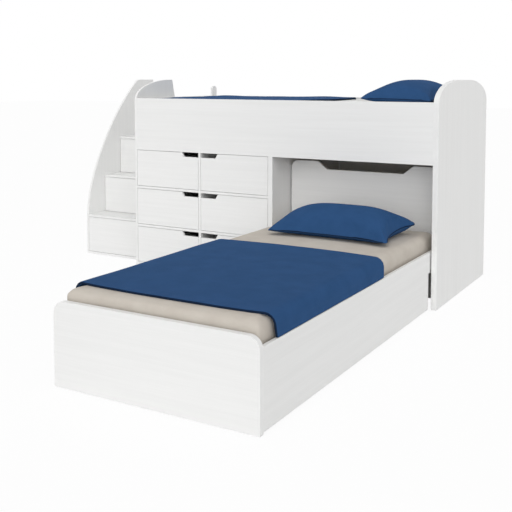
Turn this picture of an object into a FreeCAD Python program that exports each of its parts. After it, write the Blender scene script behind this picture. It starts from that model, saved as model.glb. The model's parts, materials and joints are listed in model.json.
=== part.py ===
import FreeCAD, Part
import math
import os

# Mid-height bunk bed with a dresser and storage stairs, and a low bed that slides out from under it.
# All sizes in millimetres. The model is laid out from the high bed's front left floor corner:
# X runs along the high bed to the right, Y from its front towards the wall, Z up from the floor.
# Every piece is moved at the end, so that the origin lies on the floor under the middle of the whole part.

# Boards
board = 15.0
thick_board = 28.0
end_board = 25.0
back_board = 6.0
drawer_board = 12.0
drawer_bottom_board = 5.0
glide_height = 3.0
glide_radius = 6.0
glide_inset = 60.0

# Mattress and bedding
mattress_length = 1880.0
mattress_width = 880.0
mattress_height = 150.0
mattress_edge_radius = 30.0
mattress_side_gap = 2.0
soft_gap = 0.3
pillow_length = 640.0
pillow_width = 415.0
pillow_seam_height = 38.0
pillow_end_height = 16.0
pillow_draw = 14.0
pillow_half_sections = 5
lower_pillow_height = 153.0
lower_pillow_from_head = 185.0
lower_pillow_offset = 39.0
lower_pillow_turn = -1.0
upper_pillow_height = 126.0
upper_pillow_from_head = 50.0
blanket_length = 1055.0
blanket_thickness = 6.0
blanket_bow = 45.0
lower_blanket_from_foot = 74.0
upper_blanket_from_foot = 75.0
upper_blanket_tuck = 24.0

# High bed
total_height = 1180.0
end_corner_run = 360.0
end_corner_drop = 120.0
rail_bottom = 747.0
rail_height = 320.0
end_gap = 5.0
guard_top_length = 377.0
guard_sill_length = 405.0
rear_post_width = 56.0
rear_post_height = 1135.0
rear_post_radius = 25.0
mattress_below_rail = 15.0

# Slats, cleats and brackets
slat_count = 14
slat_width = 80.0
slat_thickness = 15.0
slat_end_gap = 1.0
cleat_width = 20.0
cleat_height = 20.0
bracket_leg = 40.0
bracket_height = 60.0
bracket_thickness = 2.5
bracket_drop = 12.0

# Low bed
niche_clearance = 7.5
headboard_setback = 220.0
headboard_height = 714.0
headboard_corner_radius = 45.0
footboard_height = 340.0
footboard_corner_radius = 50.0
foot_gap = 2.0
head_gap = 57.0
hand_notch_top_width = 573.0
hand_notch_bottom_width = 459.0
hand_notch_depth = 45.0
hand_notch_radius = 12.0
lower_rail_bottom = 10.0
lower_rail_top = 303.0
lower_slat_top = 230.0
rail_cut_ahead = 20.0

# Dresser drawers
front_gap = 2.0
drawer_rows = 3
drawer_front_height = 220.0
divider_rail_depth = 80.0
cutout_length = 118.0
cutout_slope = 15.0
cutout_depth = 26.0
dresser_drawer_length = 500.0
dresser_drawer_side_height = 150.0

# Stairs
stair_width = 564.0
stair_setback = 182.0
step_count = 3
step_going = 171.0
first_step_height = 269.0
step_rise = 254.0
stair_drawer_rear_gap = 60.0
stair_drawer_side_height = 170.0
arch_start_height = 225.0
arch_lower_radius = 785.0
arch_lower_turn = 24.0
arch_upper_radius = 1750.0
arch_top_radius = 60.0

# Drawer running gear
box_side_clearance = 5.0
box_lift = 14.0
groove_depth = 7.5
groove_height_gap = 0.6
runner_tip_gap = 0.4
runner_height = 16.0
runner_rest_gap = 0.3
runner_front_gap = 10.0

# Places that follow from the sizes above
bed_depth = mattress_width + 2 * (mattress_side_gap + board)
left_inner = board
right_inner = left_inner + mattress_length + 2 * end_gap
right_outer = right_inner + thick_board
rail_top = rail_bottom + rail_height
back_front_face = bed_depth - back_board
upper_mattress_top = rail_top - mattress_below_rail
upper_slat_top = upper_mattress_top - mattress_height

low_bed_width = mattress_width + 2 * (mattress_side_gap + board)
niche_right = right_inner
niche_left = niche_right - low_bed_width - 2 * niche_clearance
dresser_right = niche_left - thick_board
column_width = (dresser_right - left_inner - board) / 2
divider_left = left_inner + column_width
divider_right = divider_left + board
row_pitch = drawer_front_height + 2 * front_gap + board
dresser_floor = rail_bottom - drawer_rows * row_pitch + board

low_left = niche_left + niche_clearance
low_right = low_left + low_bed_width
low_centre = (low_left + low_right) / 2
head_face = headboard_setback
foot_inner = head_face - head_gap - mattress_length - foot_gap
foot_face = foot_inner - end_board
lower_mattress_top = lower_slat_top + mattress_height

stair_left = -stair_width
stair_clear_left = stair_left + board
stair_clear_right = -board

names_in_row = ["top", "middle", "bottom"]
nodes = {}


def vec(x, y, z):
    return FreeCAD.Vector(x, y, z)


def block(x0, x1, y0, y1, z0, z1):
    return Part.makeBox(x1 - x0, y1 - y0, z1 - z0, vec(x0, y0, z0))


def line(a, b):
    return Part.LineSegment(a, b).toShape()


def arc(a, middle, b):
    return Part.Arc(a, middle, b).toShape()


def prism(edges, direction):
    return Part.Face(Part.Wire(edges)).extrude(direction)


def polygon_prism(points, direction):
    edges = []
    for i in range(len(points)):
        edges.append(line(points[i], points[(i + 1) % len(points)]))
    return prism(edges, direction)


def group(shapes):
    return Part.makeCompound(shapes)


# Edges of a board that run along the given axis and lie at the given height
def edges_at(shape, axis, height):
    found = []
    for edge in shape.Edges:
        start = edge.Vertexes[0].Point
        end = edge.Vertexes[-1].Point
        along = abs((end - start).normalize().dot(axis)) > 0.999
        if along and abs(start.z - height) < 0.01:
            found.append(edge)
    return found


# Quarter ellipse that rises from the straight upright edge at y_side to the flat top
def top_corner(x, y_side, inward):
    centre = vec(x, y_side + inward * end_corner_run, total_height - end_corner_drop)
    side_point = centre - vec(0, inward * end_corner_run, 0)
    top_point = centre + vec(0, 0, end_corner_drop)
    ellipse = Part.Ellipse(side_point, top_point, centre)
    return Part.ArcOfEllipse(ellipse, 0, math.pi / 2).toShape()


def end_panel(x0, thickness):
    shoulder = total_height - end_corner_drop
    edges = [
        line(vec(x0, 0, glide_height), vec(x0, 0, shoulder)),
        top_corner(x0, 0, 1),
        line(vec(x0, end_corner_run, total_height), vec(x0, bed_depth - end_corner_run, total_height)),
        top_corner(x0, bed_depth, -1),
        line(vec(x0, bed_depth, shoulder), vec(x0, bed_depth, glide_height)),
        line(vec(x0, bed_depth, glide_height), vec(x0, 0, glide_height)),
    ]
    return prism(edges, vec(thickness, 0, 0))


def left_end_panel():
    panel = end_panel(0, board)
    slope = (guard_sill_length - guard_top_length) / (total_height - rail_top)
    above = total_height + board
    passage_end = bed_depth - rear_post_width
    passage = polygon_prism(
        [
            vec(-board, guard_sill_length, rail_top),
            vec(-board, passage_end, rail_top),
            vec(-board, passage_end, above),
            vec(-board, guard_top_length - slope * board, above),
        ],
        vec(3 * board, 0, 0),
    )
    post = block(0, board, passage_end, bed_depth, glide_height, rear_post_height)
    post = post.makeFillet(rear_post_radius, edges_at(post, vec(1, 0, 0), rear_post_height))
    return panel.cut(passage).fuse(post).removeSplitter()


def slats_along_x(x0, x1, y0, y1, top):
    pitch = (x1 - x0) / slat_count
    slats = []
    for i in range(slat_count):
        middle = x0 + (i + 0.5) * pitch
        left = middle - slat_width / 2
        slats.append(block(left, left + slat_width, y0, y1, top - slat_thickness, top))
    return group(slats)


def slats_along_y(x0, x1, y0, y1, top):
    pitch = (y1 - y0) / slat_count
    slats = []
    for i in range(slat_count):
        middle = y0 + (i + 0.5) * pitch
        near = middle - slat_width / 2
        slats.append(block(x0, x1, near, near + slat_width, top - slat_thickness, top))
    return group(slats)


# Steel angle in an inner corner; x_side and y_side point into the bed
def corner_bracket(x, y, top, x_side, y_side):
    x_leg = block(
        min(x, x + x_side * bracket_leg), max(x, x + x_side * bracket_leg),
        min(y, y + y_side * bracket_thickness), max(y, y + y_side * bracket_thickness),
        top - bracket_height, top,
    )
    y_leg = block(
        min(x, x + x_side * bracket_thickness), max(x, x + x_side * bracket_thickness),
        min(y, y + y_side * bracket_leg), max(y, y + y_side * bracket_leg),
        top - bracket_height, top,
    )
    return x_leg.fuse(y_leg).removeSplitter()


def corner_brackets(x0, x1, y0, y1, top):
    corners = [(x0, y0, 1, 1), (x0, y1, 1, -1), (x1, y0, -1, 1), (x1, y1, -1, -1)]
    return group([corner_bracket(x, y, top, sx, sy) for x, y, sx, sy in corners])


def mattress(x0, x1, y0, y1, top):
    body = block(x0, x1, y0, y1, top - mattress_height, top)
    return body.makeFillet(mattress_edge_radius, body.Edges)


# Pillow lying along X around its own centre, its underside at height 0. Each section is two arcs that
# meet at the side seams; the long sides pull in between the corners, and the ends thin down to a seam.
# The sections stand closer together towards the ends, where the thickness changes fastest.
def pillow(height):
    sections = []
    for i in range(-pillow_half_sections, pillow_half_sections + 1):
        station = math.sin(math.pi / 2 * i / pillow_half_sections)
        fullness = (1 - abs(station) ** 2.5) ** 0.6
        half_width = pillow_width / 2 - pillow_draw * (1 - station ** 2)
        low = (pillow_seam_height - pillow_end_height / 2) * (1 - fullness)
        high = pillow_seam_height + pillow_end_height / 2
        high = high + (height - high) * fullness
        x = station * pillow_length / 2
        front = vec(x, -half_width, pillow_seam_height)
        rear = vec(x, half_width, pillow_seam_height)
        upper = arc(front, vec(x, 0, high), rear)
        lower = arc(rear, vec(x, 0, low), front)
        sections.append(Part.Wire([upper, lower]))
    return Part.makeLoft(sections, True, False)


# Outline of a blanket seen from above: straight sides, and ends that bow towards the head
def blanket_outline(centre, half_width, foot, head, z0, z1):
    edges = [
        line(vec(centre - half_width, foot, z0), vec(centre - half_width, head - blanket_bow, z0)),
        arc(
            vec(centre - half_width, head - blanket_bow, z0),
            vec(centre, head, z0),
            vec(centre + half_width, head - blanket_bow, z0),
        ),
        line(vec(centre + half_width, head - blanket_bow, z0), vec(centre + half_width, foot, z0)),
        line(vec(centre + half_width, foot, z0), vec(centre - half_width, foot, z0)),
    ]
    return prism(edges, vec(0, 0, z1 - z0))


# Sheet that covers a mattress running along Y and folds down over its rounded long edges
def draped_sheet(x0, x1, y0, y1, top, low_edge):
    inner = block(x0 - soft_gap, x1 + soft_gap, y0, y1, low_edge - blanket_thickness, top + soft_gap)
    inner = inner.makeFillet(mattress_edge_radius, edges_at(inner, vec(0, 1, 0), top + soft_gap))
    reach = soft_gap + blanket_thickness
    outer = block(x0 - reach, x1 + reach, y0, y1, low_edge, top + reach)
    outer_radius = mattress_edge_radius + blanket_thickness
    outer = outer.makeFillet(outer_radius, edges_at(outer, vec(0, 1, 0), top + reach))
    return outer.cut(inner)


def lower_blanket():
    x0 = low_left + board + mattress_side_gap
    x1 = low_right - board - mattress_side_gap
    foot = foot_inner + lower_blanket_from_foot
    head = foot + blanket_length
    sheet = draped_sheet(x0, x1, foot, head, lower_mattress_top, lower_rail_top + soft_gap)
    half_width = low_bed_width / 2
    outline = blanket_outline(low_centre, half_width, foot, head, lower_rail_top, total_height)
    return sheet.common(outline)


# The upper blanket lies between the rails, so only its edges turn down over the mattress's edge
def upper_blanket():
    y0 = board + mattress_side_gap
    y1 = bed_depth - y0
    foot = left_inner + upper_blanket_from_foot
    low_edge = upper_mattress_top - mattress_edge_radius
    half_width = mattress_width / 2 - mattress_edge_radius + upper_blanket_tuck
    centre = bed_depth / 2
    sheet = draped_sheet(y0, y1, -foot - blanket_length, -foot, upper_mattress_top, low_edge)
    outline = blanket_outline(
        centre, half_width, -foot - blanket_length, -foot, low_edge, total_height
    )
    turned = sheet.common(outline)
    turned.rotate(vec(0, 0, 0), vec(0, 0, 1), 90)
    return turned


def upper_bed():
    front_y = board
    back_y = bed_depth - board
    cleat_top = upper_slat_top - slat_thickness
    nodes["right_end_panel"] = end_panel(right_inner, thick_board)
    nodes["left_end_panel"] = left_end_panel()
    nodes["upper_front_rail"] = block(left_inner, right_inner, 0, board, rail_bottom, rail_top)
    nodes["upper_back_rail"] = block(left_inner, right_inner, back_y, bed_depth, rail_bottom, rail_top)
    nodes["upper_front_cleat"] = block(
        left_inner + bracket_leg, right_inner - bracket_leg,
        front_y, front_y + cleat_width, cleat_top - cleat_height, cleat_top,
    )
    nodes["upper_back_cleat"] = block(
        left_inner + bracket_leg, right_inner - bracket_leg,
        back_y - cleat_width, back_y, cleat_top - cleat_height, cleat_top,
    )
    nodes["upper_slats"] = slats_along_x(
        left_inner, right_inner, front_y + slat_end_gap, back_y - slat_end_gap, upper_slat_top
    )
    nodes["upper_corner_brackets"] = corner_brackets(
        left_inner, right_inner, front_y, back_y, cleat_top - bracket_drop
    )
    nodes["upper_mattress"] = mattress(
        left_inner + end_gap, right_inner - end_gap,
        front_y + mattress_side_gap, back_y - mattress_side_gap, upper_mattress_top,
    )
    nodes["upper_blanket"] = upper_blanket()
    cushion = pillow(upper_pillow_height)
    cushion.rotate(vec(0, 0, 0), vec(0, 0, 1), 90)
    cushion.translate(vec(
        right_inner - upper_pillow_from_head - pillow_width / 2, bed_depth / 2,
        upper_mattress_top + soft_gap,
    ))
    nodes["upper_pillow"] = cushion


# One drawer: a front in its opening, and a box behind it that rides on two strips.
# cut_side is -1 for a finger cut-out in the top left corner, 1 for the top right, 0 for none.
def drawer(name, opening, front_y, length, side_height, cut_side):
    x0, x1, z0, z1 = opening
    left = x0 + front_gap
    right = x1 - front_gap
    top = z1 - front_gap
    front = block(left, right, front_y, front_y + board, z0 + front_gap, top)
    if cut_side:
        corner = right if cut_side > 0 else left
        inner = corner - cut_side * cutout_length
        over = top + front_gap
        outline = [
            vec(corner + cut_side * front_gap, front_y - board, over),
            vec(corner + cut_side * front_gap, front_y - board, top - cutout_depth),
            vec(inner + cut_side * cutout_slope, front_y - board, top - cutout_depth),
            vec(inner, front_y - board, top),
            vec(inner, front_y - board, over),
        ]
        front = front.cut(polygon_prism(outline, vec(0, 3 * board, 0)))
    nodes[name + "_front"] = front

    box_left = x0 + box_side_clearance
    box_right = x1 - box_side_clearance
    box_front = front_y + board
    box_rear = box_front + length
    box_low = z0 + box_lift
    box_high = box_low + side_height
    groove_low = (box_low + box_high) / 2
    groove_high = groove_low + runner_height + groove_height_gap
    runner_top = groove_high - runner_rest_gap
    sides = []
    runners = []
    for face, way in ((box_left, 1), (box_right, -1)):
        near = min(face, face + way * drawer_board)
        side = block(near, near + drawer_board, box_front, box_rear, box_low, box_high)
        deep = min(face, face + way * groove_depth)
        groove = block(deep, deep + groove_depth, box_front, box_rear, groove_low, groove_high)
        sides.append(side.cut(groove))
        wall = face - way * box_side_clearance
        tip = face + way * (groove_depth - runner_tip_gap)
        runners.append(block(
            min(wall, tip), max(wall, tip),
            box_front + runner_front_gap, box_rear, runner_top - runner_height, runner_top,
        ))
    inner_left = box_left + drawer_board
    inner_right = box_right - drawer_board
    floor_top = box_low + drawer_bottom_board
    rear = block(inner_left, inner_right, box_rear - drawer_board, box_rear, floor_top, box_high)
    floor = block(inner_left, inner_right, box_front, box_rear, box_low, floor_top)
    nodes[name + "_box"] = group(sides + [rear, floor])
    return runners


def dresser():
    shelf_front = board
    nodes["dresser_side_panel"] = block(
        dresser_right, niche_left, 0, back_front_face, glide_height, rail_bottom
    )
    nodes["dresser_top_panel"] = block(
        left_inner, niche_left, shelf_front, bed_depth - board, rail_bottom, rail_bottom + board
    )
    nodes["dresser_bottom_panel"] = block(
        left_inner, dresser_right, shelf_front, back_front_face, dresser_floor - board, dresser_floor
    )
    nodes["dresser_base_rail"] = block(left_inner, dresser_right, 0, board, glide_height, dresser_floor)
    nodes["dresser_centre_divider"] = block(
        divider_left, divider_right, 0, back_front_face, dresser_floor, rail_bottom
    )
    joint_x = (dresser_right + niche_left) / 2
    nodes["dresser_back_panel"] = block(
        left_inner, joint_x, back_front_face, bed_depth, glide_height, rail_bottom
    )
    nodes["niche_back_panel"] = block(
        joint_x, niche_right, back_front_face, bed_depth, glide_height, rail_bottom
    )
    rails = []
    runners = []
    columns = (
        ("left", left_inner, divider_left, 1),
        ("right", divider_right, dresser_right, -1),
    )
    for side, x0, x1, cut_side in columns:
        for row in range(drawer_rows):
            z1 = rail_bottom - row * row_pitch
            z0 = z1 - drawer_front_height - 2 * front_gap
            name = "drawer_" + side + "_" + names_in_row[row]
            runners += drawer(
                name, (x0, x1, z0, z1), 0, dresser_drawer_length, dresser_drawer_side_height, cut_side
            )
            if row < drawer_rows - 1:
                rails.append(block(x0, x1, 0, divider_rail_depth, z0 - board, z0))
    nodes["drawer_divider_rails"] = group(rails)
    return runners


# Side board of the stairs: upright front edge, then two arcs that lean back, and a rounded top corner
def stair_side_panel():
    x = stair_left
    turn = math.radians(arch_lower_turn)
    start = vec(x, stair_setback, arch_start_height)
    lower_centre = start + vec(0, arch_lower_radius, 0)
    upper_centre_offset = arch_upper_radius - arch_lower_radius
    upper_centre = lower_centre + vec(
        0, upper_centre_offset * math.cos(turn), -upper_centre_offset * math.sin(turn)
    )

    def on_circle(centre, radius, angle):
        return centre + vec(0, -radius * math.cos(angle), radius * math.sin(angle))

    joint = on_circle(lower_centre, arch_lower_radius, turn)
    corner_z = total_height - arch_top_radius
    reach = arch_upper_radius - arch_top_radius
    rise = corner_z - upper_centre.z
    top_turn = math.asin(rise / reach)
    corner_centre = on_circle(upper_centre, reach, top_turn)
    arch_end = on_circle(upper_centre, arch_upper_radius, top_turn)
    flat_start = corner_centre + vec(0, 0, arch_top_radius)
    edges = [
        line(vec(x, stair_setback, glide_height), start),
        arc(start, on_circle(lower_centre, arch_lower_radius, turn / 2), joint),
        arc(joint, on_circle(upper_centre, arch_upper_radius, (turn + top_turn) / 2), arch_end),
        arc(arch_end, on_circle(corner_centre, arch_top_radius, (top_turn + math.pi / 2) / 2), flat_start),
        line(flat_start, vec(x, bed_depth, total_height)),
        line(vec(x, bed_depth, total_height), vec(x, bed_depth, glide_height)),
        line(vec(x, bed_depth, glide_height), vec(x, stair_setback, glide_height)),
    ]
    return prism(edges, vec(board, 0, 0))


def stair_inner_panel():
    x = stair_clear_right
    points = [vec(x, bed_depth, glide_height), vec(x, stair_setback, glide_height)]
    for step in range(step_count):
        y = stair_setback + step * step_going
        top = first_step_height + step * step_rise
        points.append(vec(x, y, top))
        if step < step_count - 1:
            points.append(vec(x, y + step_going, top))
    points.append(vec(x, bed_depth, points[-1].z))
    return polygon_prism(points, vec(board, 0, 0))


def stairs():
    x0 = stair_clear_left
    x1 = stair_clear_right
    floor_top = glide_height + board
    nodes["stair_side_panel"] = stair_side_panel()
    nodes["stair_inner_panel"] = stair_inner_panel()
    nodes["stair_bottom_panel"] = block(x0, x1, stair_setback, back_front_face, glide_height, floor_top)
    top = first_step_height + (step_count - 1) * step_rise
    nodes["stair_back_panel"] = block(x0, x1, back_front_face, bed_depth, glide_height, top)
    runners = []
    z0 = floor_top
    for step in range(step_count):
        y = stair_setback + step * step_going
        tread_top = first_step_height + step * step_rise
        number = str(step + 1)
        nodes["stair_tread_" + number] = block(x0, x1, y, back_front_face, tread_top - board, tread_top)
        length = back_front_face - stair_drawer_rear_gap - y - board
        runners += drawer(
            "stair_drawer_" + number, (x0, x1, z0, tread_top - board), y, length,
            stair_drawer_side_height, 0,
        )
        z0 = tread_top
    return runners


def glide(x, y):
    return Part.makeCylinder(glide_radius, glide_height, vec(x, y, 0))


def floor_glides():
    glides = []
    feet = (
        (stair_left + board / 2, stair_setback),
        (stair_clear_right + board / 2, stair_setback),
        (board / 2, 0),
        ((dresser_right + niche_left) / 2, 0),
        ((right_inner + right_outer) / 2, 0),
    )
    for x, front in feet:
        glides.append(glide(x, front + glide_inset))
        glides.append(glide(x, bed_depth - glide_inset))
    return group(glides)


def rounded_board(y0, height, radius):
    panel = block(low_left, low_right, y0, y0 + end_board, glide_height, height)
    return panel.makeFillet(radius, edges_at(panel, vec(0, 1, 0), height))


def headboard():
    panel = rounded_board(head_face, headboard_height, headboard_corner_radius)
    low = headboard_height - hand_notch_depth
    top_half = hand_notch_top_width / 2
    bottom_half = hand_notch_bottom_width / 2
    y = head_face - end_board
    notch = polygon_prism(
        [
            vec(low_centre - top_half, y, headboard_height),
            vec(low_centre - bottom_half, y, low),
            vec(low_centre + bottom_half, y, low),
            vec(low_centre + top_half, y, headboard_height),
        ],
        vec(0, 3 * end_board, 0),
    )
    notch = notch.makeFillet(hand_notch_radius, edges_at(notch, vec(0, 1, 0), low))
    return panel.cut(notch)


def lower_side_rail(x0):
    rail = block(x0, x0 + board, foot_inner, head_face, lower_rail_bottom, lower_rail_top)
    cleat_low = lower_slat_top - slat_thickness - cleat_height
    cut = block(x0, x0 + board, -rail_cut_ahead, head_face, lower_rail_bottom, cleat_low)
    return rail.cut(cut)


def low_bed():
    left_face = low_left + board
    right_face = low_right - board
    cleat_top = lower_slat_top - slat_thickness
    cleat_low = cleat_top - cleat_height
    nodes["footboard"] = rounded_board(foot_face, footboard_height, footboard_corner_radius)
    nodes["headboard"] = headboard()
    nodes["lower_left_rail"] = lower_side_rail(low_left)
    nodes["lower_right_rail"] = lower_side_rail(right_face)
    nodes["lower_left_cleat"] = block(
        left_face, left_face + cleat_width, foot_inner, head_face, cleat_low, cleat_top
    )
    nodes["lower_right_cleat"] = block(
        right_face - cleat_width, right_face, foot_inner, head_face, cleat_low, cleat_top
    )
    nodes["lower_slats"] = slats_along_y(
        left_face + slat_end_gap, right_face - slat_end_gap, foot_inner, head_face, lower_slat_top
    )
    foot_top = cleat_low - bracket_drop
    head_top = lower_slat_top + bracket_drop + bracket_height
    nodes["lower_corner_brackets"] = group([
        corner_bracket(left_face, foot_inner, foot_top, 1, 1),
        corner_bracket(right_face, foot_inner, foot_top, -1, 1),
        corner_bracket(left_face, head_face, head_top, 1, -1),
        corner_bracket(right_face, head_face, head_top, -1, -1),
    ])
    mattress_foot = foot_inner + foot_gap
    nodes["lower_mattress"] = mattress(
        left_face + mattress_side_gap, right_face - mattress_side_gap,
        mattress_foot, mattress_foot + mattress_length, lower_mattress_top,
    )
    nodes["lower_blanket"] = lower_blanket()
    cushion = pillow(lower_pillow_height)
    cushion.rotate(vec(0, 0, 0), vec(0, 0, 1), lower_pillow_turn)
    cushion.translate(vec(
        low_centre + lower_pillow_offset, head_face - lower_pillow_from_head - pillow_width / 2,
        lower_mattress_top + soft_gap,
    ))
    nodes["lower_pillow"] = cushion
    inset = low_left + glide_inset
    across = low_right - glide_inset
    foot_y = foot_face + end_board / 2
    head_y = head_face + end_board / 2
    nodes["lower_floor_glides"] = group(
        [glide(inset, foot_y), glide(across, foot_y), glide(inset, head_y), glide(across, head_y)]
    )


upper_bed()
strips = dresser() + stairs()
nodes["drawer_runner_strips"] = group(strips)
nodes["floor_glides"] = floor_glides()
low_bed()

os.makedirs("parts", exist_ok=True)
to_origin = vec(-(stair_left + right_outer) / 2, -(foot_face + bed_depth) / 2, 0)
for name, shape in nodes.items():
    placed = shape.copy()
    placed.translate(to_origin)
    placed.exportStep("parts/" + name + ".step")
print(len(nodes), "nodes, origin at", to_origin)
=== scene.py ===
import json
import math

import bpy
from mathutils import Matrix, Vector, noise


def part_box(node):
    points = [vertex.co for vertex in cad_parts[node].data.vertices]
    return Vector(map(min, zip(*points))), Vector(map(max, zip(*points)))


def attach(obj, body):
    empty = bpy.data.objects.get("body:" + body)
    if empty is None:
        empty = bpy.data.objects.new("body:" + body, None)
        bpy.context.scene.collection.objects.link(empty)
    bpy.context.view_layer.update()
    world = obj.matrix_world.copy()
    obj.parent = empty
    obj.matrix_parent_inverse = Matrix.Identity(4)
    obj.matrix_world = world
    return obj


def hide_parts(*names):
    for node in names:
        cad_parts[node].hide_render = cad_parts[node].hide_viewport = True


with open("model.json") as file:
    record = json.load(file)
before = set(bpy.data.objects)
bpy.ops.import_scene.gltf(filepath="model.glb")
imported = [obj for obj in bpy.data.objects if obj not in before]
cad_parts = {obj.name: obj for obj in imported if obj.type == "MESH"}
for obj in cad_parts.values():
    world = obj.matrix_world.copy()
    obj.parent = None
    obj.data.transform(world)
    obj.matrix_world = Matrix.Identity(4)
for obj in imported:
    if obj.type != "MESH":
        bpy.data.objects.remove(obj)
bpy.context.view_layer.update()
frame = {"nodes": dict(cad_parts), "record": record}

mm = 0.001
print("frame loaded:", len(frame["nodes"]), "CAD nodes")


# Camera: turned and tilted by so many degrees, almost level, with its picture shifted down, so that
# uprights stay upright
camera = {
    "place": (2.5312, -3.626, 1.1867),
    "turn": 30.134,
    "tilt": 4.0,
    "lens": 57.945,
    "shiftDown": 0.2338,
}


def addCamera():
    bpy.ops.object.camera_add(location=camera["place"])
    eye = bpy.context.object
    eye.rotation_euler = (math.radians(90 - camera["tilt"]), 0, math.radians(camera["turn"]))
    eye.data.lens = camera["lens"]
    eye.data.sensor_width = 36
    eye.data.shift_y = -camera["shiftDown"]
    bpy.context.scene.camera = eye
    bpy.context.scene.view_settings.view_transform = "Standard"


addCamera()
print("camera set")


# Small helpers
def deselectAll():
    for item in list(bpy.context.selected_objects):
        item.select_set(False)


def pick(piece):
    deselectAll()
    piece.select_set(True)
    bpy.context.view_layer.objects.active = piece


def colour(hexCode):
    parts = [int(hexCode[i:i + 2], 16) / 255 for i in (1, 3, 5)]
    linear = [c / 12.92 if c <= 0.04045 else ((c + 0.055) / 1.055) ** 2.4 for c in parts]
    return (*linear, 1.0)


def camelName(node):
    words = node.split("_")
    return words[0] + "".join(word.capitalize() for word in words[1:])


def newObject(name, mesh):
    piece = bpy.data.objects.new(name, mesh)
    bpy.context.scene.collection.objects.link(piece)
    return piece


# A node with its settings and its links; a setting or link is named by its socket or its number, and
# tints are the levels and colours of a ramp
def addNode(tree, kind, settings, links=None):
    node = tree.nodes.new(kind)
    for key, value in settings.items():
        if key == "tints":
            points = node.color_ramp.elements
            while len(points) < len(value):
                points.new(0.5)
            for point, (level, hexCode) in zip(points, value):
                point.position = level
                point.color = colour(hexCode)
        elif isinstance(key, int) or key in node.inputs:
            node.inputs[key].default_value = value
        else:
            setattr(node, key, value)
    for key, source in (links or {}).items():
        tree.links.new(source, node.inputs[key])
    return node


def newMaterial(name, **shaderSettings):
    material = bpy.data.materials.new(name)
    material.use_nodes = True
    tree = material.node_tree
    shader = tree.nodes["Principled BSDF"]
    for key, value in shaderSettings.items():
        shader.inputs[key.replace("_", " ")].default_value = value
    place = addNode(tree, "ShaderNodeTexCoord", {}).outputs["Object"]
    return material, tree, shader, place


# Noise whose features are as large as spacing says, in millimetres along X, Y and Z
def stretched(tree, place, spacing, detail=3.0, roughness=0.5):
    size = [1 / (s * mm) for s in spacing]
    mapped = addNode(tree, "ShaderNodeMapping", {"Scale": size}, {"Vector": place})
    settings = {"Scale": 1.0, "Detail": detail, "Roughness": roughness}
    return addNode(tree, "ShaderNodeTexNoise", settings, {"Vector": mapped.outputs[0]}).outputs["Fac"]


# Melamine-faced particle board, pressed with a shallow wood pore: an almost plain white, with lines
# along the grain that only a low light brings out
melamineLook = {
    "tints": [(0.12, "#ECECEB"), (0.38, "#F0F0EF")],
    "bandSpacing": 17,
    "poreSpacing": 2.4,
    "grainLength": 220,
    "poreDepth": 0.03,
    "poreRelief": 0.3,
    "roughness": 0.5,
    "ior": 1.5,
}


def along(axis, length, across):
    return [length if i == axis else across for i in range(3)]


def melamine(name, axis):
    look = melamineLook
    material, tree, shader, place = newMaterial(name, Roughness=look["roughness"], IOR=look["ior"])
    bands = stretched(tree, place, along(axis, look["grainLength"] * 3, look["bandSpacing"]), 2)
    pores = stretched(tree, place, along(axis, look["grainLength"], look["poreSpacing"]), 4, 0.6)
    both = addNode(tree, "ShaderNodeMath", {"operation": "MULTIPLY"}, {0: bands, 1: pores})
    tint = addNode(tree, "ShaderNodeValToRGB", {"tints": look["tints"]}, {"Fac": both.outputs[0]})
    tree.links.new(tint.outputs["Color"], shader.inputs["Base Color"])
    settings = {"Distance": look["poreDepth"] * mm, "Strength": look["poreRelief"]}
    relief = addNode(tree, "ShaderNodeBump", settings, {"Height": pores})
    tree.links.new(relief.outputs["Normal"], shader.inputs["Normal"])
    return material


# Plain surfaces: a soft cloud of two tints and a fine relief, their sizes and depths in millimetres.
# The edge band is ironed on and scraped flush, smooth and a little shinier than the boards; the backs
# have the soft unevenness of a rolled coat; runner strips and glides a fine spark-eroded grain
plainLooks = {
    "absEdgeBand": {
        "tints": [(0.3, "#EDEDEC"), (0.7, "#F1F1F0")],
        "roughness": 0.36,
        "ior": 1.53,
        "cloudSize": 40,
        "cloudDetail": 2,
        "reliefSize": 6,
        "reliefDetail": 2,
        "reliefRoughness": 0.5,
        "reliefDepth": 0.03,
        "reliefStrength": 0.4,
    },
    "lacqueredHardboard": {
        "tints": [(0.3, "#E4E4E2"), (0.7, "#EAEAE8")],
        "roughness": 0.6,
        "ior": 1.48,
        "cloudSize": 120,
        "cloudDetail": 3,
        "reliefSize": 3,
        "reliefDetail": 3,
        "reliefRoughness": 0.7,
        "reliefDepth": 0.08,
        "reliefStrength": 0.6,
    },
    "mouldedPolypropylene": {
        "tints": [(0.3, "#DADAD8"), (0.7, "#E2E2E0")],
        "roughness": 0.5,
        "ior": 1.49,
        "cloudSize": 25,
        "cloudDetail": 2,
        "reliefSize": 0.8,
        "reliefDetail": 2,
        "reliefRoughness": 0.5,
        "reliefDepth": 0.05,
        "reliefStrength": 0.5,
    },
}


def plainSurface(name):
    look = plainLooks[name]
    material, tree, shader, place = newMaterial(name, Roughness=look["roughness"], IOR=look["ior"])
    cloud = stretched(tree, place, [look["cloudSize"]] * 3, look["cloudDetail"])
    tint = addNode(tree, "ShaderNodeValToRGB", {"tints": look["tints"]}, {"Fac": cloud})
    tree.links.new(tint.outputs["Color"], shader.inputs["Base Color"])
    spacing = [look["reliefSize"]] * 3
    grain = stretched(tree, place, spacing, look["reliefDetail"], look["reliefRoughness"])
    settings = {"Distance": look["reliefDepth"] * mm, "Strength": look["reliefStrength"]}
    relief = addNode(tree, "ShaderNodeBump", settings, {"Height": grain})
    tree.links.new(relief.outputs["Normal"], shader.inputs["Normal"])
    return material


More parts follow.
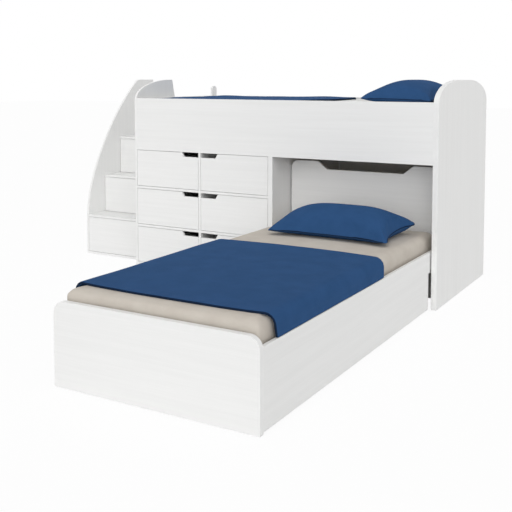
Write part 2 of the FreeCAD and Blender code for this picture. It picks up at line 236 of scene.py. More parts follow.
# Planed pine: pale straw with darker late-wood lines along the slat, matt
pineLook = {
    "tints": [(0.36, "#C9A26B"), (0.47, "#DDBE8C"), (0.62, "#E6CC9F")],
    "ringLength": 700,
    "ringSpacing": 9,
    "fibreLength": 60,
    "fibreSpacing": 0.9,
    "fibreDepth": 0.12,
    "roughness": 0.62,
    "ior": 1.46,
}


def pine(name, axis):
    look = pineLook
    material, tree, shader, place = newMaterial(name, Roughness=look["roughness"], IOR=look["ior"])
    rings = stretched(tree, place, along(axis, look["ringLength"], look["ringSpacing"]), 5, 0.55)
    tint = addNode(tree, "ShaderNodeValToRGB", {"tints": look["tints"]}, {"Fac": rings})
    tree.links.new(tint.outputs["Color"], shader.inputs["Base Color"])
    fibres = stretched(tree, place, along(axis, look["fibreLength"], look["fibreSpacing"]), 3, 0.6)
    settings = {"Distance": look["fibreDepth"] * mm, "Strength": 0.5}
    relief = addNode(tree, "ShaderNodeBump", settings, {"Height": fibres})
    tree.links.new(relief.outputs["Normal"], shader.inputs["Normal"])
    return material


# Zinc-plated pressed steel: bluish grey, with the faint blotches of the plating
zincLook = {
    "tints": [(0.3, "#9FA4A8"), (0.7, "#C3C7CA")],
    "blotchSize": 14,
    "smoothest": 0.26,
    "roughest": 0.42,
}


def zincSteel():
    look = zincLook
    material, tree, shader, place = newMaterial("zincPlatedSteel", Metallic=1.0)
    blotch = stretched(tree, place, [look["blotchSize"]] * 3, 4, 0.6)
    tint = addNode(tree, "ShaderNodeValToRGB", {"tints": look["tints"]}, {"Fac": blotch})
    tree.links.new(tint.outputs["Color"], shader.inputs["Base Color"])
    settings = {"To Min": look["smoothest"], "To Max": look["roughest"]}
    rough = addNode(tree, "ShaderNodeMapRange", settings, {"Value": blotch})
    tree.links.new(rough.outputs[0], shader.inputs["Roughness"])
    return material


# Woven cotton. Threads run along two axes; the real ones stand 0.5 mm apart and are drawn
# at three times that, so that they still show a little from a step away. The bands of a wave texture of
# scale 1 lie 0.314 m apart
cottonLook = {
    "threadSpacing": 1.5,
    "threadDepth": 0.18,
    "slubSize": 7,
    "slubDepth": 0.3,
    "cloudSize": 90,
    "specular": 0.08,
    "ior": 1.46,
    "bandsApart": 0.314,
}

cottonDyes = {
    "undyedCottonSheet": {"tints": [(0.3, "#C8C0B6"), (0.7, "#D0C9BF")], "roughness": 0.9},
    "bleachedCottonSheet": {"tints": [(0.3, "#EAEAE8"), (0.7, "#F0F0EE")], "roughness": 0.9},
    "blueCottonCover": {"tints": [(0.3, "#2D4F7A"), (0.7, "#315481")], "roughness": 0.9},
    # The navy is painted shade: darker than the blue cloth, it stands for the shadow along a blanket's
    # hem and round a pillow's seam
    "navyCottonBinding": {"tints": [(0.3, "#14233A"), (0.7, "#182A44")], "roughness": 0.8},
}


def cotton(name):
    look, dye = cottonLook, cottonDyes[name]
    material, tree, shader, place = newMaterial(
        name, Roughness=dye["roughness"], IOR=look["ior"], Specular_IOR_Level=look["specular"]
    )
    cloud = stretched(tree, place, [look["cloudSize"]] * 3, 4, 0.55)
    tint = addNode(tree, "ShaderNodeValToRGB", {"tints": dye["tints"]}, {"Fac": cloud})
    tree.links.new(tint.outputs["Color"], shader.inputs["Base Color"])
    threads = []
    for direction in ("X", "Y"):
        settings = {
            "wave_type": "BANDS",
            "bands_direction": direction,
            "Scale": look["bandsApart"] / (look["threadSpacing"] * mm),
            "Distortion": 0.6,
            "Detail": 1.0,
        }
        threads.append(addNode(tree, "ShaderNodeTexWave", settings, {"Vector": place}).outputs["Fac"])
    weave = addNode(tree, "ShaderNodeMath", {"operation": "MULTIPLY"}, {0: threads[0], 1: threads[1]})
    slub = stretched(tree, place, [look["slubSize"]] * 3, 3, 0.6)
    settings = {"Distance": look["slubDepth"] * mm, "Strength": 0.5}
    uneven = addNode(tree, "ShaderNodeBump", settings, {"Height": slub})
    settings = {"Distance": look["threadDepth"] * mm, "Strength": 0.5}
    links = {"Height": weave.outputs[0], "Normal": uneven.outputs["Normal"]}
    relief = addNode(tree, "ShaderNodeBump", settings, links)
    tree.links.new(relief.outputs["Normal"], shader.inputs["Normal"])
    return material


finishes = {
    "grainX": melamine("melamineGrainAlongX", 0),
    "grainY": melamine("melamineGrainAlongY", 1),
    "grainZ": melamine("melamineGrainAlongZ", 2),
    "band": plainSurface("absEdgeBand"),
    "back": plainSurface("lacqueredHardboard"),
    "pineX": pine("planedPineAlongX", 0),
    "pineY": pine("planedPineAlongY", 1),
    "zinc": zincSteel(),
    "plastic": plainSurface("mouldedPolypropylene"),
    "beige": cotton("undyedCottonSheet"),
    "white": cotton("bleachedCottonSheet"),
    "blue": cotton("blueCottonCover"),
    "binding": cotton("navyCottonBinding"),
}
print("materials mixed:", len(finishes))


# Boards. Each is taken over from its CAD node, merged, its edges eased by the radius that a
# scraped edge band has, and its narrow faces given the band. Angles are in degrees
boardShape = {
    "easing": 0.9 * mm,
    "easingSteps": 3,
    "sharpFrom": 30,
    "smoothBelow": 35,
    "mergeWithin": 0.01 * mm,
    "flatWithin": 0.4,
    "faceFrom": 0.98,
}


def mergedCopy(node):
    piece = newObject(camelName(node), frame["nodes"][node].data.copy())
    piece.data.materials.clear()
    pick(piece)
    bpy.ops.object.mode_set(mode="EDIT")
    bpy.ops.mesh.select_all(action="SELECT")
    bpy.ops.mesh.remove_doubles(threshold=boardShape["mergeWithin"])
    bpy.ops.mesh.dissolve_limited(angle_limit=math.radians(boardShape["flatWithin"]))
    bpy.ops.object.mode_set(mode="OBJECT")
    return piece


def easeEdges(piece, radius, steps):
    pick(piece)
    bpy.ops.object.mode_set(mode="EDIT")
    bpy.ops.mesh.select_mode(type="EDGE")
    bpy.ops.mesh.select_all(action="DESELECT")
    bpy.ops.mesh.edges_select_sharp(sharpness=math.radians(boardShape["sharpFrom"]))
    bpy.ops.mesh.bevel(offset=radius, segments=steps, profile=0.5, affect="EDGES")
    bpy.ops.object.mode_set(mode="OBJECT")
    bpy.ops.object.shade_smooth_by_angle(angle=math.radians(boardShape["smoothBelow"]))
    bpy.ops.object.modifier_add(type="WEIGHTED_NORMAL")
    piece.modifiers[-1].keep_sharp = True
    bpy.ops.object.modifier_apply(modifier=piece.modifiers[-1].name)


def paintBoard(piece, thinAxis, face, band):
    piece.data.materials.append(face)
    piece.data.materials.append(band)
    for polygon in piece.data.polygons:
        isFace = abs(polygon.normal[thinAxis]) > boardShape["faceFrom"]
        polygon.material_index = 0 if isFace else 1


# The piece takes a CAD node's place: the node is hidden, and the piece rides on the node's body
def standIn(piece, node):
    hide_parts(node)
    for body, names in frame["record"]["behaviour"]["bodies"].items():
        if node in names:
            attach(piece, body)


def board(node, thinAxis, face):
    piece = mergedCopy(node)
    easeEdges(piece, boardShape["easing"], boardShape["easingSteps"])
    paintBoard(piece, thinAxis, finishes[face], finishes["band"])
    standIn(piece, node)


# node: (axis the board is thin along, finish of its faces)
boards = {
    "right_end_panel": (0, "grainZ"),
    "left_end_panel": (0, "grainZ"),
    "upper_front_rail": (1, "grainX"),
    "upper_back_rail": (1, "grainX"),
    "dresser_side_panel": (0, "grainZ"),
    "dresser_top_panel": (2, "grainX"),
    "dresser_bottom_panel": (2, "grainX"),
    "dresser_base_rail": (1, "grainX"),
    "dresser_centre_divider": (0, "grainZ"),
    "drawer_divider_rails": (2, "grainX"),
    "dresser_back_panel": (1, "back"),
    "niche_back_panel": (1, "back"),
    "stair_side_panel": (0, "grainZ"),
    "stair_inner_panel": (0, "grainZ"),
    "stair_bottom_panel": (2, "grainX"),
    "stair_back_panel": (1, "back"),
    "stair_tread_1": (2, "grainX"),
    "stair_tread_2": (2, "grainX"),
    "stair_tread_3": (2, "grainX"),
    "footboard": (1, "grainX"),
    "headboard": (1, "grainX"),
    "lower_left_rail": (0, "grainY"),
    "lower_right_rail": (0, "grainY"),
}
for node in frame["nodes"]:
    if node.endswith("_front"):
        boards[node] = (1, "grainX")
for node, (thinAxis, face) in boards.items():
    board(node, thinAxis, face)
print("boards:", len(boards))


# Bed fittings: slats, the cleats they lie on, and the steel angles in the corners
woodShape = {"easing": 2.0 * mm, "steps": 2}


def sawnWood(node, finish):
    piece = mergedCopy(node)
    easeEdges(piece, woodShape["easing"], woodShape["steps"])
    piece.data.materials.append(finishes[finish])
    standIn(piece, node)


for node in ("upper_slats", "lower_left_cleat", "lower_right_cleat"):
    sawnWood(node, "pineY")
for node in ("lower_slats", "upper_front_cleat", "upper_back_cleat"):
    sawnWood(node, "pineX")
print("slats and cleats done")


screwShape = {
    "headRadius": 3.8 * mm,
    "headHeight": 2.2 * mm,
    "headRounding": 1.1 * mm,
    "slotLength": 4.6 * mm,
    "slotWidth": 1.0 * mm,
    "slotDepth": 0.9 * mm,
}


# Pan-head screw with its head along +X, cut with a cross
def screwHead():
    shape = screwShape
    bpy.ops.mesh.primitive_cylinder_add(
        vertices=16, radius=shape["headRadius"], depth=shape["headHeight"],
        location=(shape["headHeight"] / 2, 0, 0), rotation=(0, math.pi / 2, 0),
    )
    head = bpy.context.object
    bpy.ops.object.transform_apply(location=True, rotation=True, scale=True)
    bpy.ops.object.mode_set(mode="EDIT")
    bpy.ops.mesh.select_mode(type="FACE")
    bpy.ops.mesh.select_all(action="DESELECT")
    bpy.ops.object.mode_set(mode="OBJECT")
    for face in head.data.polygons:
        face.select = face.normal.x > 0.9
    bpy.ops.object.mode_set(mode="EDIT")
    bpy.ops.mesh.bevel(offset=shape["headRounding"], segments=2, affect="EDGES")
    bpy.ops.object.mode_set(mode="OBJECT")
    deep, long, wide = shape["slotDepth"] * 2, shape["slotLength"], shape["slotWidth"]
    for size in ((deep, long, wide), (deep, wide, long)):
        bpy.ops.mesh.primitive_cube_add(size=1, location=(shape["headHeight"], 0, 0), scale=size)
        cutter = bpy.context.object
        pick(head)
        bpy.ops.object.modifier_add(type="BOOLEAN")
        head.modifiers[-1].object = cutter
        head.modifiers[-1].operation = "DIFFERENCE"
        bpy.ops.object.modifier_apply(modifier=head.modifiers[-1].name)
        bpy.data.objects.remove(cutter)
    return head


# Copies of one piece at each place, turned about Z, all joined under one name
def copies(pattern, name, places):
    made = []
    for spot, turn in places:
        copy = newObject(name, pattern.data.copy())
        copy.data.transform(Matrix.Translation(Vector(spot)) @ Matrix.Rotation(turn, 4, "Z"))
        made.append(copy)
    pick(made[0])
    for copy in made:
        copy.select_set(True)
    bpy.ops.object.join()
    made[0].name = name
    return made[0]


bracketShape = {
    "easing": 0.5 * mm,
    "cornerReach": 50 * mm,
    "leaf": 2.5 * mm,
    "screwOut": 22 * mm,
    "screwLevels": (0.3, 0.7),
}


# Two screws up each leaf of each steel angle, with the turn that points their heads off the leaf
def bracketScrews(node):
    shape = bracketShape
    reach, leaf, out = shape["cornerReach"], shape["leaf"], shape["screwOut"]
    low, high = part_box(node)
    points = [vertex.co for vertex in frame["nodes"][node].data.vertices]
    places = []
    for xSide in (1, -1):
        for ySide in (1, -1):
            x = low[0] if xSide > 0 else high[0]
            y = low[1] if ySide > 0 else high[1]
            heights = [p.z for p in points if abs(p.x - x) < reach and abs(p.y - y) < reach]
            for level in shape["screwLevels"]:
                z = min(heights) + (max(heights) - min(heights)) * level
                alongX = 0 if xSide > 0 else math.pi
                places.append(((x + xSide * leaf, y + ySide * out, z), alongX))
                places.append(((x + xSide * out, y + ySide * leaf, z), ySide * math.pi / 2))
    return places


def brackets(node):
    piece = mergedCopy(node)
    easeEdges(piece, bracketShape["easing"], 2)
    piece.data.materials.append(finishes["zinc"])
    standIn(piece, node)
    screws = copies(screw, camelName(node) + "Screws", bracketScrews(node))
    screws.data.materials.append(finishes["zinc"])
    standIn(screws, node)


deselectAll()
screw = screwHead()
for node in ("upper_corner_brackets", "lower_corner_brackets"):
    brackets(node)
bpy.data.objects.remove(screw)
print("corner brackets done")


# Runner strips and glides of moulded plastic
mouldedEasing = 0.6 * mm
for node in ("drawer_runner_strips", "floor_glides", "lower_floor_glides"):
    piece = mergedCopy(node)
    easeEdges(piece, mouldedEasing, 2)
    piece.data.materials.append(finishes["plastic"])
    standIn(piece, node)
print("runner strips and glides done")


# Drawer boxes: two grooved sides, a rear board, and a thin floor
boxShape = {
    "wall": 12 * mm,
    "floor": 5 * mm,
    "grooveDepth": 7.5 * mm,
    "grooveHeight": 16.6 * mm,
    "easing": 0.8 * mm,
}


def plainBoard(name, low, high):
    middle = [(a + b) / 2 for a, b in zip(low, high)]
    deselectAll()
    bpy.ops.mesh.primitive_cube_add(size=1, location=middle, scale=[b - a for a, b in zip(low, high)])
    piece = bpy.context.object
    piece.name = name
    bpy.ops.object.transform_apply(location=True, rotation=True, scale=True)
    return piece


def cutAway(piece, low, high):
    cutter = plainBoard("cutter", low, high)
    pick(piece)
    bpy.ops.object.modifier_add(type="BOOLEAN")
    piece.modifiers[-1].object = cutter
    piece.modifiers[-1].operation = "DIFFERENCE"
    bpy.ops.object.modifier_apply(modifier=piece.modifiers[-1].name)
    bpy.data.objects.remove(cutter)


def drawerBox(node):
    shape = boxShape
    (x0, y0, z0), (x1, y1, z1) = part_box(node)
    wall, floorTop = shape["wall"], z0 + shape["floor"]
    grooveLow = (z0 + z1) / 2
    grooveHigh = grooveLow + shape["grooveHeight"]
    parts = []
    for side in (1, -1):
        outer = x0 if side > 0 else x1
        across = sorted((outer, outer + side * wall))
        panel = plainBoard("side", (across[0], y0, z0), (across[1], y1, z1))
        groove = sorted((outer - side * wall, outer + side * shape["grooveDepth"]))
        cutAway(panel, (groove[0], y0 - wall, grooveLow), (groove[1], y1 + wall, grooveHigh))
        parts.append((panel, 0, "grainY"))
    rear = plainBoard("rear", (x0 + wall, y1 - wall, floorTop), (x1 - wall, y1, z1))
    parts.append((rear, 1, "grainX"))
    floor = plainBoard("floor", (x0 + wall, y0, z0), (x1 - wall, y1, floorTop))
    parts.append((floor, 2, "back"))
    for part, thinAxis, face in parts:
        easeEdges(part, shape["easing"], 2)
        paintBoard(part, thinAxis, finishes[face], finishes["band"])
    piece = parts[0][0]
    pick(piece)
    for part, thinAxis, face in parts:
        part.select_set(True)
    bpy.ops.object.join()
    piece.name = camelName(node)
    standIn(piece, node)


boxNodes = [node for node in frame["nodes"] if node.endswith("_box")]
for node in boxNodes:
    drawerBox(node)
print("drawer boxes:", len(boxNodes))


# Panel pins that hold the thin backs, one about every 150 mm along the edges
pinShape = {
    "radius": 1.8 * mm,
    "rounding": 0.3 * mm,
    "stand": 0.5 * mm,
    "spacing": 150 * mm,
    "inset": 7 * mm,
}


def panelPins(node):
    shape = pinShape
    low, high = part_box(node)
    deselectAll()
    bpy.ops.mesh.primitive_cylinder_add(
        vertices=8, radius=shape["radius"], depth=shape["stand"], rotation=(math.pi / 2, 0, 0)
    )
    pin = bpy.context.object
    bpy.ops.object.transform_apply(location=True, rotation=True, scale=True)
    bpy.ops.object.modifier_add(type="BEVEL")
    pin.modifiers[-1].width = shape["rounding"]
    pin.modifiers[-1].segments = 1
    bpy.ops.object.modifier_apply(modifier=pin.modifiers[-1].name)
    x0, x1 = low[0] + shape["inset"], high[0] - shape["inset"]
    z0, z1 = low[2] + shape["inset"], high[2] - shape["inset"]
    places = set()
    across = max(1, round((x1 - x0) / shape["spacing"]))
    upward = max(1, round((z1 - z0) / shape["spacing"]))
    for i in range(across + 1):
        x = x0 + (x1 - x0) * i / across
        places.update({(x, z0), (x, z1)})
    for i in range(upward + 1):
        z = z0 + (z1 - z0) * i / upward
        places.update({(x0, z), (x1, z)})
    spots = [((x, high[1] + shape["stand"] / 2, z), 0) for x, z in sorted(places)]
    piece = copies(pin, camelName(node) + "Pins", spots)
    bpy.data.objects.remove(pin)
    piece.data.materials.append(finishes["zinc"])
    standIn(piece, node)


for node in ("niche_back_panel", "dresser_back_panel", "stair_back_panel"):
    panelPins(node)
print("panel pins done")


# Which slice of the noise each unevenness reads, so that no two run alike
noiseSlice = {"puckers": 3.1, "dents": 1.7, "swell": 0.4, "creases": 5.2, "waves": 3.0}

# Covers are blown up by the cloth solver, each point moving no further than its piece allows
coverCloth = {"quality": 4, "mass": 0.3, "stretch": 25, "bending": 2}


def letSwell(piece, pressure, steps, reach):
    start = [vertex.co.copy() for vertex in piece.data.vertices]
    pick(piece)
    bpy.ops.object.modifier_add(type="CLOTH")
    cloth = piece.modifiers[-1]
    cloth.settings.quality = coverCloth["quality"]
    cloth.settings.use_pressure = True
    cloth.settings.uniform_pressure_force = pressure
    cloth.settings.effector_weights.gravity = 0
    cloth.settings.mass = coverCloth["mass"]
    cloth.settings.tension_stiffness = coverCloth["stretch"]
    cloth.settings.compression_stiffness = coverCloth["stretch"]
    cloth.settings.bending_stiffness = coverCloth["bending"]
    scene = bpy.context.scene
    cloth.point_cache.frame_end = steps
    for number in range(1, steps + 1):
        scene.frame_set(number)
    bpy.ops.object.modifier_apply(modifier=cloth.name)
    scene.frame_set(1)
    for vertex, before in zip(piece.data.vertices, start):
        move = vertex.co - before
        if move.length > reach:
            vertex.co = before + move * (reach / move.length)


def remeshed(piece, voxel):
    bpy.ops.object.modifier_add(type="REMESH")
    piece.modifiers[-1].mode = "VOXEL"
    piece.modifiers[-1].voxel_size = voxel
    bpy.ops.object.modifier_apply(modifier=piece.modifiers[-1].name)


def smoothOnce(piece):
    pick(piece)
    bpy.ops.object.modifier_add(type="SUBSURF")
    piece.modifiers[-1].levels = 1
    piece.modifiers[-1].render_levels = 1
    bpy.ops.object.modifier_apply(modifier=piece.modifiers[-1].name)
    bpy.ops.object.shade_smooth()


# Mattresses: foam in a fitted sheet. The block swells a little under pressure like a filled cover,
# and then the sheet's puckers are worked in, deepest where its elastic pulls it under.
# start: how much smaller the block is before it swells; room: how far it may pass its size
mattressShape = {
    "length": 1880 * mm,
    "width": 880 * mm,
    "height": 150 * mm,
    "start": 6 * mm,
    "edge": 26 * mm,
    "edgeSteps": 5,
    "corner": 14 * mm,
    "voxel": 16 * mm,
    "pressure": 3.0,
    "steps": 12,
    "reach": 9 * mm,
    "sideRoom": 1.4 * mm,
    "topRoom": 1.5 * mm,
    "sideBand": 24 * mm,
    "puckerSpacing": 42 * mm,
    "puckerRun": 400 * mm,
    "puckerDepth": 1.6 * mm,
    "puckersAtTop": 0.35,
    "dents": 2.2 * mm,
    "dentSize": 260 * mm,
    "dentsFrom": 0.6,
}


def roundedBlock():
    shape = mattressShape
    less = shape["start"]
    size = (shape["length"] - less, shape["width"] - less, shape["height"] - less)
    deselectAll()
    bpy.ops.mesh.primitive_cube_add(size=1, location=(0, 0, shape["height"] / 2), scale=size)
    piece = bpy.context.object
    bpy.ops.object.transform_apply(location=True, rotation=True, scale=True)
    weights = piece.data.attributes.new("bevel_weight_edge", "FLOAT", "EDGE")
    for edge in piece.data.edges:
        a, b = (piece.data.vertices[i].co for i in edge.vertices)
        upright = abs(a.z - b.z) > less
        weights.data[edge.index].value = shape["corner"] / shape["edge"] if upright else 1.0
    bpy.ops.object.modifier_add(type="BEVEL")
    piece.modifiers[-1].width = shape["edge"] - less / 2
    piece.modifiers[-1].segments = shape["edgeSteps"]
    piece.modifiers[-1].limit_method = "WEIGHT"
    bpy.ops.object.modifier_apply(modifier=piece.modifiers[-1].name)
    return piece


def mattressForm():
    shape = mattressShape
    piece = roundedBlock()
    remeshed(piece, shape["voxel"])
    letSwell(piece, shape["pressure"], shape["steps"], shape["reach"])
    smoothOnce(piece)
    halfLength, halfWidth, height = shape["length"] / 2, shape["width"] / 2, shape["height"]
    band, room, atTop = shape["sideBand"], shape["sideRoom"], shape["puckersAtTop"]
    for vertex in piece.data.vertices:
        co = vertex.co
        low = 1 - min(max(co.z / height, 0), 1)
        atSide = max(abs(co.x) - halfLength + band, abs(co.y) - halfWidth + band, 0) / band
        atSide = min(atSide, 1)
        run = co.y if abs(co.x) / halfLength > abs(co.y) / halfWidth else co.x
        gathers = Vector((run / shape["puckerSpacing"], co.z / shape["puckerRun"], noiseSlice["puckers"]))
        pucker = abs(noise.noise(gathers)) * shape["puckerDepth"]
        outward = Vector((co.x / halfLength, co.y / halfWidth, 0))
        outward.normalize()
        co -= outward * (pucker * atSide * (atTop + (1 - atTop) * low))
        if co.z > height * shape["dentsFrom"]:
            over = Vector((co.x / shape["dentSize"], co.y / shape["dentSize"], noiseSlice["dents"]))
            co.z -= abs(noise.noise(over)) * shape["dents"] * (1 - atSide)
        co.z = min(max(co.z, 0), height + shape["topRoom"])
        co.x = min(max(co.x, -halfLength - room), halfLength + room)
        co.y = min(max(co.y, -halfWidth - room), halfWidth + room)
    return piece


def placed(pattern, name, spot, turn):
    piece = newObject(name, pattern.data.copy())
    piece.data.transform(Matrix.Translation(Vector(spot)) @ Matrix.Rotation(turn, 4, "Z"))
    return piece


# The point of a node's box that lies in the middle of its underside
def underMiddle(node):
    low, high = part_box(node)
    return (low[0] + high[0]) / 2, (low[1] + high[1]) / 2, low[2]


def mattresses():
    pattern = mattressForm()
    for node, turn, finish in (("upper_mattress", 0, "white"), ("lower_mattress", -90, "beige")):
        piece = placed(pattern, camelName(node), underMiddle(node), math.radians(turn))
        piece.data.materials.append(finishes[finish])
        standIn(piece, node)
    bpy.data.objects.remove(pattern)


mattresses()
print("mattresses done")


# Blankets: smooth cloth of quilt weight, laid over the mattress and down its sides; the rim of the hem is
# coloured dark navy as painted shade
blanketShape = {
    "thickness": 10 * mm,
    "length": 1055 * mm,
    "headBow": 45 * mm,
    "footBow": 26 * mm,
    "gap": 0.5 * mm,
    "edgeRadius": 30 * mm,
    "hemRounding": 2.4 * mm,
    "step": 12 * mm,
    "swellSize": 260 * mm,
    "creaseAcross": 90 * mm,
    "creaseSlant": 160 * mm,
    "creaseRun": 300 * mm,
    "creaseShare": 0.35,
    "waveSpacing": 150 * mm,
    "waveRun": 500 * mm,
    "waveDepth": 1.2 * mm,
}

# down: cloth from where the mattress starts to round; swell: how far it stands off the top;
# flare: how far its hem stands off the side
laidBlankets = {
    "lower_blanket": {
        "over": "lower_mattress",
        "alongX": False,
        "down": 94 * mm,
        "swell": 1.6 * mm,
        "flare": 6 * mm,
        "rests": ["lowerMattress", "lower_left_rail", "lower_right_rail"],
    },
    "upper_blanket": {
        "over": "upper_mattress",
        "alongX": True,
        "down": 27.5 * mm,
        "swell": 5 * mm,
        "flare": 0,
        "rests": ["upperMattress"],
    },
}


# Cross-section of a laid cloth at u from its middle: place across, height over the top, slope
def overEdge(u, half, radius):
    flat = half - radius
    side = math.copysign(1, u)
    u = abs(u)
    if u <= flat:
        return side * u, 0.0, 0.0
    angle = (u - flat) / radius
    if angle <= math.pi / 2:
        return side * (flat + radius * math.sin(angle)), radius * (math.cos(angle) - 1), angle
    return side * half, -radius - (u - flat - radius * math.pi / 2), math.pi / 2


# Height of the cloth's gentle unevenness at a point of the flat sheet
def unevenness(u, v):
    shape = blanketShape
    swells = Vector((u / shape["swellSize"], v / shape["swellSize"], noiseSlice["swell"]))
    slant = u / shape["creaseAcross"] + v / shape["creaseSlant"]
    creases = Vector((slant, v / shape["creaseRun"], noiseSlice["creases"]))
    return noise.noise(swells) + shape["creaseShare"] * noise.noise(creases)


# The cloth is thickened, and its rim takes the navy of painted shade, which stands for the shadow along
# the hem
def thickenWithShadedRim(piece):
    shape = blanketShape
    pick(piece)
    piece.data.materials.append(finishes["blue"])
    piece.data.materials.append(finishes["binding"])
    bpy.ops.object.modifier_add(type="SOLIDIFY")
    piece.modifiers[-1].thickness = shape["thickness"]
    piece.modifiers[-1].offset = 1
    piece.modifiers[-1].use_even_offset = True
    # The rim faces get the second material, the painted-shade navy
    piece.modifiers[-1].material_offset_rim = 1
    bpy.ops.object.modifier_apply(modifier=piece.modifiers[-1].name)
    bpy.ops.object.modifier_add(type="BEVEL")
    piece.modifiers[-1].width = shape["hemRounding"]
    piece.modifiers[-1].segments = 2
    piece.modifiers[-1].limit_method = "ANGLE"
    piece.modifiers[-1].angle_limit = math.radians(60)
    bpy.ops.object.modifier_apply(modifier=piece.modifiers[-1].name)
    bpy.ops.object.shade_smooth()


def blanket(node, lay):
    shape, alongX, down = blanketShape, lay["alongX"], lay["down"]
    low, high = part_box(lay["over"])
    cross = 1 if alongX else 0
    top = high[2] + shape["gap"]
    radius = shape["edgeRadius"] + shape["gap"]
    half = (high[cross] - low[cross]) / 2 + shape["gap"]
    centre = (low[cross] + high[cross]) / 2
    halfFlat = half - radius + down
    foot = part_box(node)[0][1 - cross]
    columns = round(2 * halfFlat / shape["step"])
    rows = round(shape["length"] / shape["step"])
    deselectAll()
    bpy.ops.mesh.primitive_grid_add(x_subdivisions=columns, y_subdivisions=rows, size=1)
    piece = bpy.context.object
    piece.name = camelName(node)
    for vertex in piece.data.vertices:
        share = vertex.co.x * 2
        u = share * halfFlat
        start = shape["footBow"] * abs(share) ** 3
        end = shape["length"] - shape["headBow"] * share ** 2
        v = start + (vertex.co.y + 0.5) * (end - start)
        across, height, angle = overEdge(u, half, radius)
        lift = lay["swell"] * (1 + unevenness(u, v)) * math.cos(angle)
        hang = math.sin(angle) * max(0.0, abs(u) - (half - radius)) / down
        waves = Vector((v / shape["waveSpacing"], u / shape["waveRun"], noiseSlice["waves"]))
        across += math.copysign(hang * (lay["flare"] + noise.noise(waves) * shape["waveDepth"]), u)
        place = (foot + v, centre - across) if alongX else (centre + across, foot + v)
        vertex.co = (*place, top + height + lift)
    thickenWithShadedRim(piece)
    standIn(piece, node)


for node, lay in laidBlankets.items():
    blanket(node, lay)
print("blankets done")


# Pillows: the CAD form is blown up by the cloth solver, then given drawn-in sides between its pointed
# corners, and a corded seam is sewn all round, coloured dark navy as painted shade along the rim
pillowShape = {
    "voxel": 7 * mm,
    "startShare": 0.985,
    "pressure": 4.0,
    "steps": 20,
    "reach": 10 * mm,
    "drawEnds": 13 * mm,
    "drawSides": 9 * mm,
    "cornersOut": 34 * mm,
    "cornersAside": 20.4 * mm,
    "seamRadius": 2.0 * mm,
    "seamPoints": 150,
}


def pillowForm():
    shape = pillowShape
    piece = mergedCopy("upper_pillow")
    piece.name = "pillowPattern"
    toMiddle = Matrix.Translation(-Vector(underMiddle("upper_pillow")))
    piece.data.transform(Matrix.Rotation(-math.pi / 2, 4, "Z") @ toMiddle)
    piece.data.transform(Matrix.Scale(shape["startShare"], 4))
    pick(piece)
    remeshed(piece, shape["voxel"])
    letSwell(piece, shape["pressure"], shape["steps"], shape["reach"])
    smoothOnce(piece)
    halfLength = max(vertex.co.x for vertex in piece.data.vertices)
    halfWidth = max(vertex.co.y for vertex in piece.data.vertices)
    for vertex in piece.data.vertices:
        co = vertex.co
        alongShare, acrossShare = co.x / halfLength, co.y / halfWidth
        co.x -= math.copysign(shape["drawEnds"] * abs(alongShare) ** 3 * (1 - acrossShare ** 2), co.x)
        co.y -= math.copysign(shape["drawSides"] * abs(acrossShare) ** 3 * (1 - alongShare ** 2), co.y)
        atCorner = abs(alongShare * acrossShare) ** 3
        co.x += math.copysign(shape["cornersOut"] * atCorner, co.x)
        co.y += math.copysign(shape["cornersAside"] * atCorner, co.y)
    return piece


# Widest line of the pillow, where its two halves meet
def seamLine(pattern):
    count = pillowShape["seamPoints"]
    halfLength = max(v.co.x for v in pattern.data.vertices)
    halfWidth = max(v.co.y for v in pattern.data.vertices)
    widest = {}
    for vertex in pattern.data.vertices:
        x, y = vertex.co.x / halfLength, vertex.co.y / halfWidth
        slot = round(math.atan2(y, x) / (2 * math.pi) * count) % count
        if slot not in widest or max(abs(x), abs(y)) > widest[slot][0]:
            widest[slot] = (max(abs(x), abs(y)), vertex.co.copy())
    return [widest[slot][1] for slot in sorted(widest)]


def seamCord(points):
    line = bpy.data.curves.new("seam", "CURVE")
    line.dimensions = "3D"
    spline = line.splines.new("NURBS")
    spline.points.add(len(points) - 1)
    for target, point in zip(spline.points, points):
        target.co = (*point, 1)
    spline.order_u = 3
    spline.use_cyclic_u = True
    line.bevel_depth = pillowShape["seamRadius"]
    line.bevel_resolution = 2
    line.resolution_u = 2
    piece = newObject("seam", line)
    pick(piece)
    bpy.ops.object.convert(target="MESH")
    bpy.ops.object.shade_smooth()
    return bpy.context.object


# How each pillow lies: its turn in degrees, the height of its seam in front and at the back and of its
# crown, and the shares by which its two ends are fuller than the pattern's
laidPillows = {
    "upper_pillow": {
        "turn": 90,
        "front": 20 * mm,
        "back": 28 * mm,
        "crown": 129 * mm,
        "lowEnd": 0.25,
        "highEnd": 0.25,
    },
    "lower_pillow": {
        "turn": -1,
        "front": 25 * mm,
        "back": 62 * mm,
        "crown": 160 * mm,
        "lowEnd": 0.05,
        "highEnd": 0.32,
    },
}


# The pattern's seam height and crown are brought to the heights at which this pillow lies
def settled(piece, seamHeight, crown, lay):
    deep = max(vertex.co.y for vertex in piece.data.vertices)
    long = max(vertex.co.x for vertex in piece.data.vertices)
    for vertex in piece.data.vertices:
        co = vertex.co
        seam = lay["front"] + (lay["back"] - lay["front"]) * (co.y / deep + 1) / 2
        if co.z < seamHeight:
            co.z = max(co.z * seam / seamHeight, 0)
        else:
            fuller = 1 + lay["highEnd" if co.x > 0 else "lowEnd"] * (co.x / long) ** 2
            co.z = seam + (co.z - seamHeight) * (lay["crown"] - seam) / (crown - seamHeight) * fuller


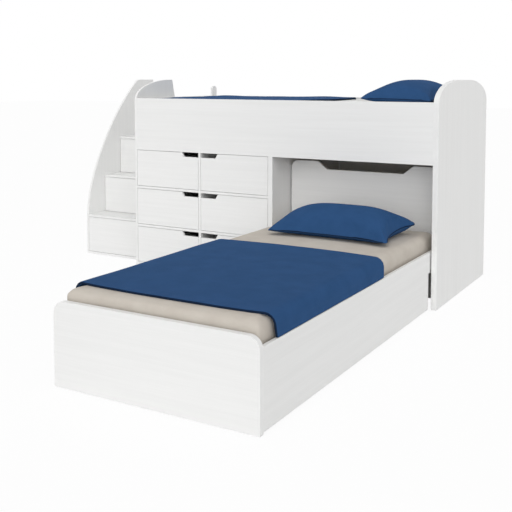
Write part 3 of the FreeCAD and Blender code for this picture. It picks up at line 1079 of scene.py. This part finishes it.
def pillows():
    pattern = pillowForm()
    points = seamLine(pattern)
    seamHeight = sum(point.z for point in points) / len(points)
    crown = max(vertex.co.z for vertex in pattern.data.vertices)
    cord = seamCord(points)
    for node, lay in laidPillows.items():
        spot = Matrix.Translation(Vector(underMiddle(node)))
        piece = placed(pattern, camelName(node), (0, 0, 0), 0)
        edge = placed(cord, camelName(node) + "Seam", (0, 0, 0), 0)
        # The seam cord is coloured dark navy as painted shade along the pillow's rim; the cover keeps its
        # blue
        for part, finish in ((piece, "blue"), (edge, "binding")):
            settled(part, seamHeight, crown, lay)
            part.data.transform(spot @ Matrix.Rotation(math.radians(lay["turn"]), 4, "Z"))
            part.data.materials.clear()
            part.data.materials.append(finishes[finish])
            standIn(part, node)
    bpy.data.objects.remove(pattern)
    bpy.data.objects.remove(cord)


pillows()
print("pillows done")


# Stage: pale floor, and a background that the camera sees as white
stageLook = {
    "floorSize": 60,
    "floorColour": "#FCFCFC",
    "floorGlow": 0.93,
    "worldStrength": 0.5,
}


def addFloor():
    bpy.ops.mesh.primitive_plane_add(size=stageLook["floorSize"], location=(0, 0, 0))
    floor = bpy.context.object
    floor.name = "floor"
    material, tree, shader, place = newMaterial("paleFloor", Roughness=0.9, Specular_IOR_Level=0.0)
    shader.inputs["Base Color"].default_value = colour(stageLook["floorColour"])
    ways = addNode(tree, "ShaderNodeLightPath", {})
    glow = addNode(tree, "ShaderNodeEmission", {"Color": (1, 1, 1, 1), "Strength": 1.0})
    share = addNode(tree, "ShaderNodeMath", {"operation": "MULTIPLY", 1: stageLook["floorGlow"]},
                    {0: ways.outputs["Is Camera Ray"]})
    both = addNode(tree, "ShaderNodeMixShader", {},
                   {0: share.outputs[0], 1: shader.outputs[0], 2: glow.outputs[0]})
    tree.links.new(both.outputs[0], tree.nodes["Material Output"].inputs["Surface"])
    floor.data.materials.append(material)


def addWorld():
    world = bpy.data.worlds.new("studioAir")
    bpy.context.scene.world = world
    world.use_nodes = True
    tree = world.node_tree
    back = tree.nodes["Background"]
    ways = addNode(tree, "ShaderNodeLightPath", {})
    seen = addNode(tree, "ShaderNodeMath", {"operation": "MAXIMUM"},
                   {0: ways.outputs["Is Camera Ray"], 1: ways.outputs["Is Glossy Ray"]})
    seen = addNode(tree, "ShaderNodeMath", {"operation": "MAXIMUM"},
                   {0: seen.outputs[0], 1: ways.outputs["Is Transmission Ray"]})
    level = addNode(tree, "ShaderNodeMapRange", {"To Min": stageLook["worldStrength"], "To Max": 1.0},
                    {"Value": seen.outputs[0]})
    back.inputs["Color"].default_value = (1, 1, 1, 1)
    tree.links.new(level.outputs[0], back.inputs["Strength"])


# Wide, far lamps: the way each lies from the object, how many degrees wide it is and its strength
lamps = {
    "frontRight": {"way": (0.7, -1.0, 0.5), "width": 60, "strength": 0.83},
    "frontLow": {"way": (0.25, -1.0, 0.08), "width": 50, "strength": 0.7},
    "above": {"way": (0.0, -0.15, 1.0), "width": 80, "strength": 0.5},
}


def addLamps():
    for name, lamp in lamps.items():
        bpy.ops.object.light_add(type="SUN", location=(0, 0, 5))
        light = bpy.context.object
        light.name = name + "Lamp"
        light.data.angle = math.radians(lamp["width"])
        light.data.energy = lamp["strength"]
        light.rotation_euler = Vector(lamp["way"]).to_track_quat("Z", "Y").to_euler()


deselectAll()
addFloor()
addWorld()
addLamps()
print("stage set")
